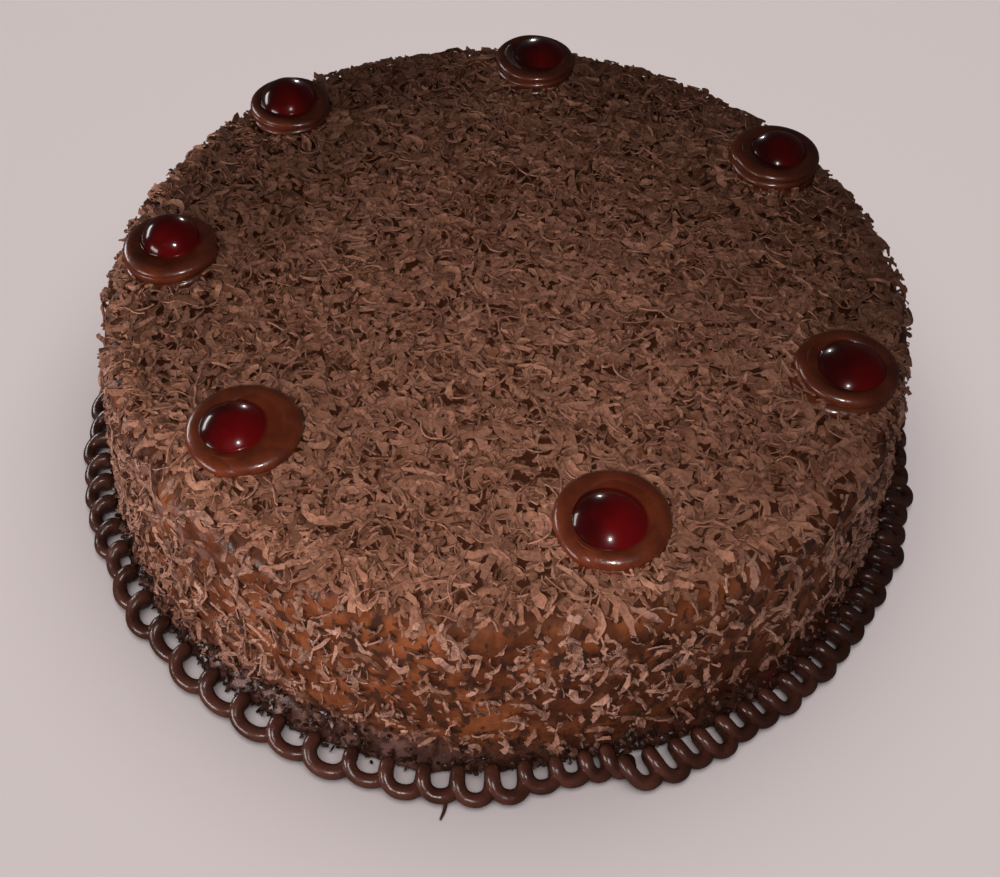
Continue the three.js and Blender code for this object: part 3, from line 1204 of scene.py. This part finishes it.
# What is laid down, in this order: name, shapes, count, where, sizes and material.
layers = [
    ("top_flakes", flakeShapes, 1900, layOnTop, (0.7, 1.15), dry),
    ("top_strips", stripShapes, 1900, layOnTop, (0.9, 1.4), dry),
    ("top_curls", curlShapes, 3050, layOnTop, (0.8, 1.35), dry),
    ("top_slivers", sliverShapes, 2700, layOnTop, (0.8, 1.5), dry),
    ("rim_shavings", ribbonShapes, 1000, layOnRim, (0.75, 1.2), dry),
    ("side_flakes", flakeShapes, 600, layOnSide, (0.5, 1.0), stuck),
    ("side_shavings", ribbonShapes, 1350, layOnSide, (0.6, 1.1), stuck),
    ("side_slivers", sliverShapes, 1600, layOnSide, (0.7, 1.35), stuck),
]
for layer in layers:
    scatter(*layer)
print("shavings are laid")

crumbs = {
    "shapes": 14,
    "count": 6000,
    "size": (0.0003, 0.0013),
    "long": (0.9, 1.5),
    "wide": (0.6, 1.1),
    "tall": (0.35, 0.8),
    "lumpy": (0.6, 1.3),
    "band": 0.0065,
    "bandSpread": 0.5,
    "share": 0.5,
    "leftShare": (228, 26, 0.2),
    "seamShare": (287, 4, 0.6),
    "onCreep": (0.3, 1.1),
    "outSpread": 0.0006,
    "sinkShare": 0.8,
    "lowest": 0.0001,
    "tones": ((0.014, 0.0055, 0.0038), (0.19, 0.09, 0.066)),
    "toneCurve": 2.5,
}


def crumbShape():
    bm = bmesh.new()
    bmesh.ops.create_icosphere(bm, subdivisions=1, radius=1)
    squash = [between(crumbs["long"]), between(crumbs["wide"]), between(crumbs["tall"])]
    for vert in bm.verts:
        vert.co = Vector(a * b for a, b in zip(vert.co, Vector(squash))) * between(crumbs["lumpy"])
    return shapeArrays(bm, [0.5] * len(bm.verts))


def crumbShare(angle):
    share = crumbs["share"]
    for middle, width, more in (crumbs["leftShare"], crumbs["seamShare"]):
        share += more * hump(angle, middle, width)
    return min(1, share)


def layAtFoot(shape, size):
    angle = chance.uniform(0, 360)
    if chance.random() > crumbShare(angle):
        return None, 0
    up = abs(chance.normal(0, crumbs["bandSpread"])) * crumbs["band"]
    fade = 1 - smoothStep(up, body["fringeFrom"], body["fringeTop"])
    creep = (fringeLine(angle) - footLine(angle)) * fade
    out = creep * between(crumbs["onCreep"]) + abs(chance.normal(0, crumbs["outSpread"]))
    verts = shape["verts"] @ randomTurn(90).T * size
    verts = verts + skinAt(angle, sideEnd - up - size * crumbs["sinkShare"], out)
    verts[:, 2] = np.maximum(verts[:, 2], crumbs["lowest"])
    return verts, 0


def crumbFinish():
    look = Finish("wetCrumbs")
    tone, _, _ = look.split(look.attribute("tone"))
    look.colour(look.mix(look.math("POWER", tone, crumbs["toneCurve"]), *crumbs["tones"]))
    look.put(Roughness=0.32, Specular_IOR_Level=0.5, Coat_Weight=0.3, Coat_Roughness=0.15)
    return look.material


crumbShapes = [crumbShape() for _ in range(crumbs["shapes"])]
scatter("foot_crumbs", crumbShapes, crumbs["count"], layAtFoot, crumbs["size"], crumbFinish())

room = {
    "floorColour": (0.6, 0.546, 0.552),
    "floorSize": 3.0,
    "floorDrop": 0.0002,
    "lampTint": (1, 0.96, 0.94),
    "sky": (0.95, 0.9, 0.88),
    "skyStrength": 0.036,
}
# The first five lamps give the light, and the others only the reflections. Each reaches only
# the pieces that "sees" names. An area lamp's size is its two sides, and a spot's is its
# radius and its cone in degrees.
lampKeys = ("name", "kind", "place", "aim", "size", "watts", "sees", "gloss")
lampRows = (
    ("frontKey", "SPOT", (-0.06, -0.4, 0.36), (-0.015, -0.115, 0.05),
     (0.14, 39), 6.3, "cake", False),
    ("nearFlash", "SPOT", (-0.015, -0.27, 0.33), (-0.012, -0.09, 0.05),
     (0.02, 54), 2.75, "cake", False),
    ("leftKey", "AREA", (-0.45, -0.38, 0.1), (-0.06, -0.06, 0.03),
     (0.2, 0.14), 2.85, "cake", False),
    ("backFill", "AREA", (0.1, 0.62, 0.06), (0, 0.12, 0.03),
     (0.5, 0.08), 0.74, "cake", False),
    ("floorLight", "AREA", (0, 0, 1.6), (0, 0, 0),
     (2.4, 2.4), 43.0, "floor", False),
    ("backPane", "AREA", (-0.55, 0.22, 0.19), (0, 0, 0.07),
     (0.28, 0.09), 0.8, "cake", True),
    ("sidePane", "AREA", (-0.54, -0.36, 0.2), (0, 0, 0.07),
     (0.28, 0.1), 1.0, "cake", True),
    ("highLamp", "AREA", (0.043, -0.25, 0.3), (0, 0, 0.07),
     (0.0085, 0.0075), 0.5, "toppings", True),
    ("backLamp", "AREA", (-0.043, 0.488, 0.135), (0, 0, 0.07),
     (0.013, 0.01), 0.45, "cherries", True),
    ("cordLamp", "AREA", (-0.12, -0.5, 0.42), (0, -0.1, 0),
     (0.16, 0.12), 0.7, "cord", True),
)
lamps = [dict(zip(lampKeys, row)) for row in lampRows]


def layFloor():
    bm = bmesh.new()
    bmesh.ops.create_grid(bm, x_segments=1, y_segments=1, size=room["floorSize"] / 2)
    bmesh.ops.translate(bm, verts=bm.verts[:], vec=(0, 0, -room["floorDrop"]))
    mesh = meshFrom(bm, "floor")
    look = Finish("paleFloor")
    look.put(Base_Color=(*room["floorColour"], 1), Roughness=0.85, Specular_IOR_Level=0.1)
    mesh.materials.append(look.material)
    floor = bpy.data.objects.new("floor", mesh)
    floor.visible_glossy = False
    scene.collection.objects.link(floor)


# Which pieces each lamp may reach.
def sortPieces():
    groups = ("cake", "toppings", "cherries", "cord", "floor")
    seen = {key: bpy.data.collections.new(f"lit_{key}") for key in groups}
    for obj in [o for o in scene.objects if o.type == "MESH"]:
        seen["floor" if obj.name == "floor" else "cake"].objects.link(obj)
        if obj.name.startswith(("piped_rosette", "glazed_cherry")):
            seen["toppings"].objects.link(obj)
        if obj.name.startswith("glazed_cherry"):
            seen["cherries"].objects.link(obj)
        if obj.name in ("looped_cord", "foot_crumbs"):
            seen["cord"].objects.link(obj)
    return seen


def hangLamp(lamp, seen):
    data = bpy.data.lights.new(lamp["name"], lamp["kind"])
    data.energy = lamp["watts"]
    data.color = room["lampTint"]
    if lamp["kind"] == "AREA":
        data.shape = "RECTANGLE"
        data.size, data.size_y = lamp["size"]
    else:
        radius, cone = lamp["size"]
        data.shadow_soft_size = radius
        data.spot_size = math.radians(cone)
        data.spot_blend = 1
    obj = bpy.data.objects.new(lamp["name"], data)
    scene.collection.objects.link(obj)
    obj.location = lamp["place"]
    ahead = Vector(lamp["aim"]) - Vector(lamp["place"])
    obj.rotation_euler = ahead.to_track_quat("-Z", "Y").to_euler()
    obj.visible_camera = False
    obj.visible_diffuse = not lamp["gloss"]
    obj.visible_glossy = lamp["gloss"]
    obj.light_linking.receiver_collection = seen[lamp["sees"]]


def hangLights():
    world = bpy.data.worlds.new("paleRoom")
    world.use_nodes = True
    sky = world.node_tree.nodes["Background"]
    sky.inputs["Color"].default_value = (*room["sky"], 1)
    sky.inputs["Strength"].default_value = room["skyStrength"]
    scene.world = world
    seen = sortPieces()
    for lamp in lamps:
        hangLamp(lamp, seen)


layFloor()
hangLights()
scene.view_settings.view_transform = "Standard"
print("floor and lights are set")
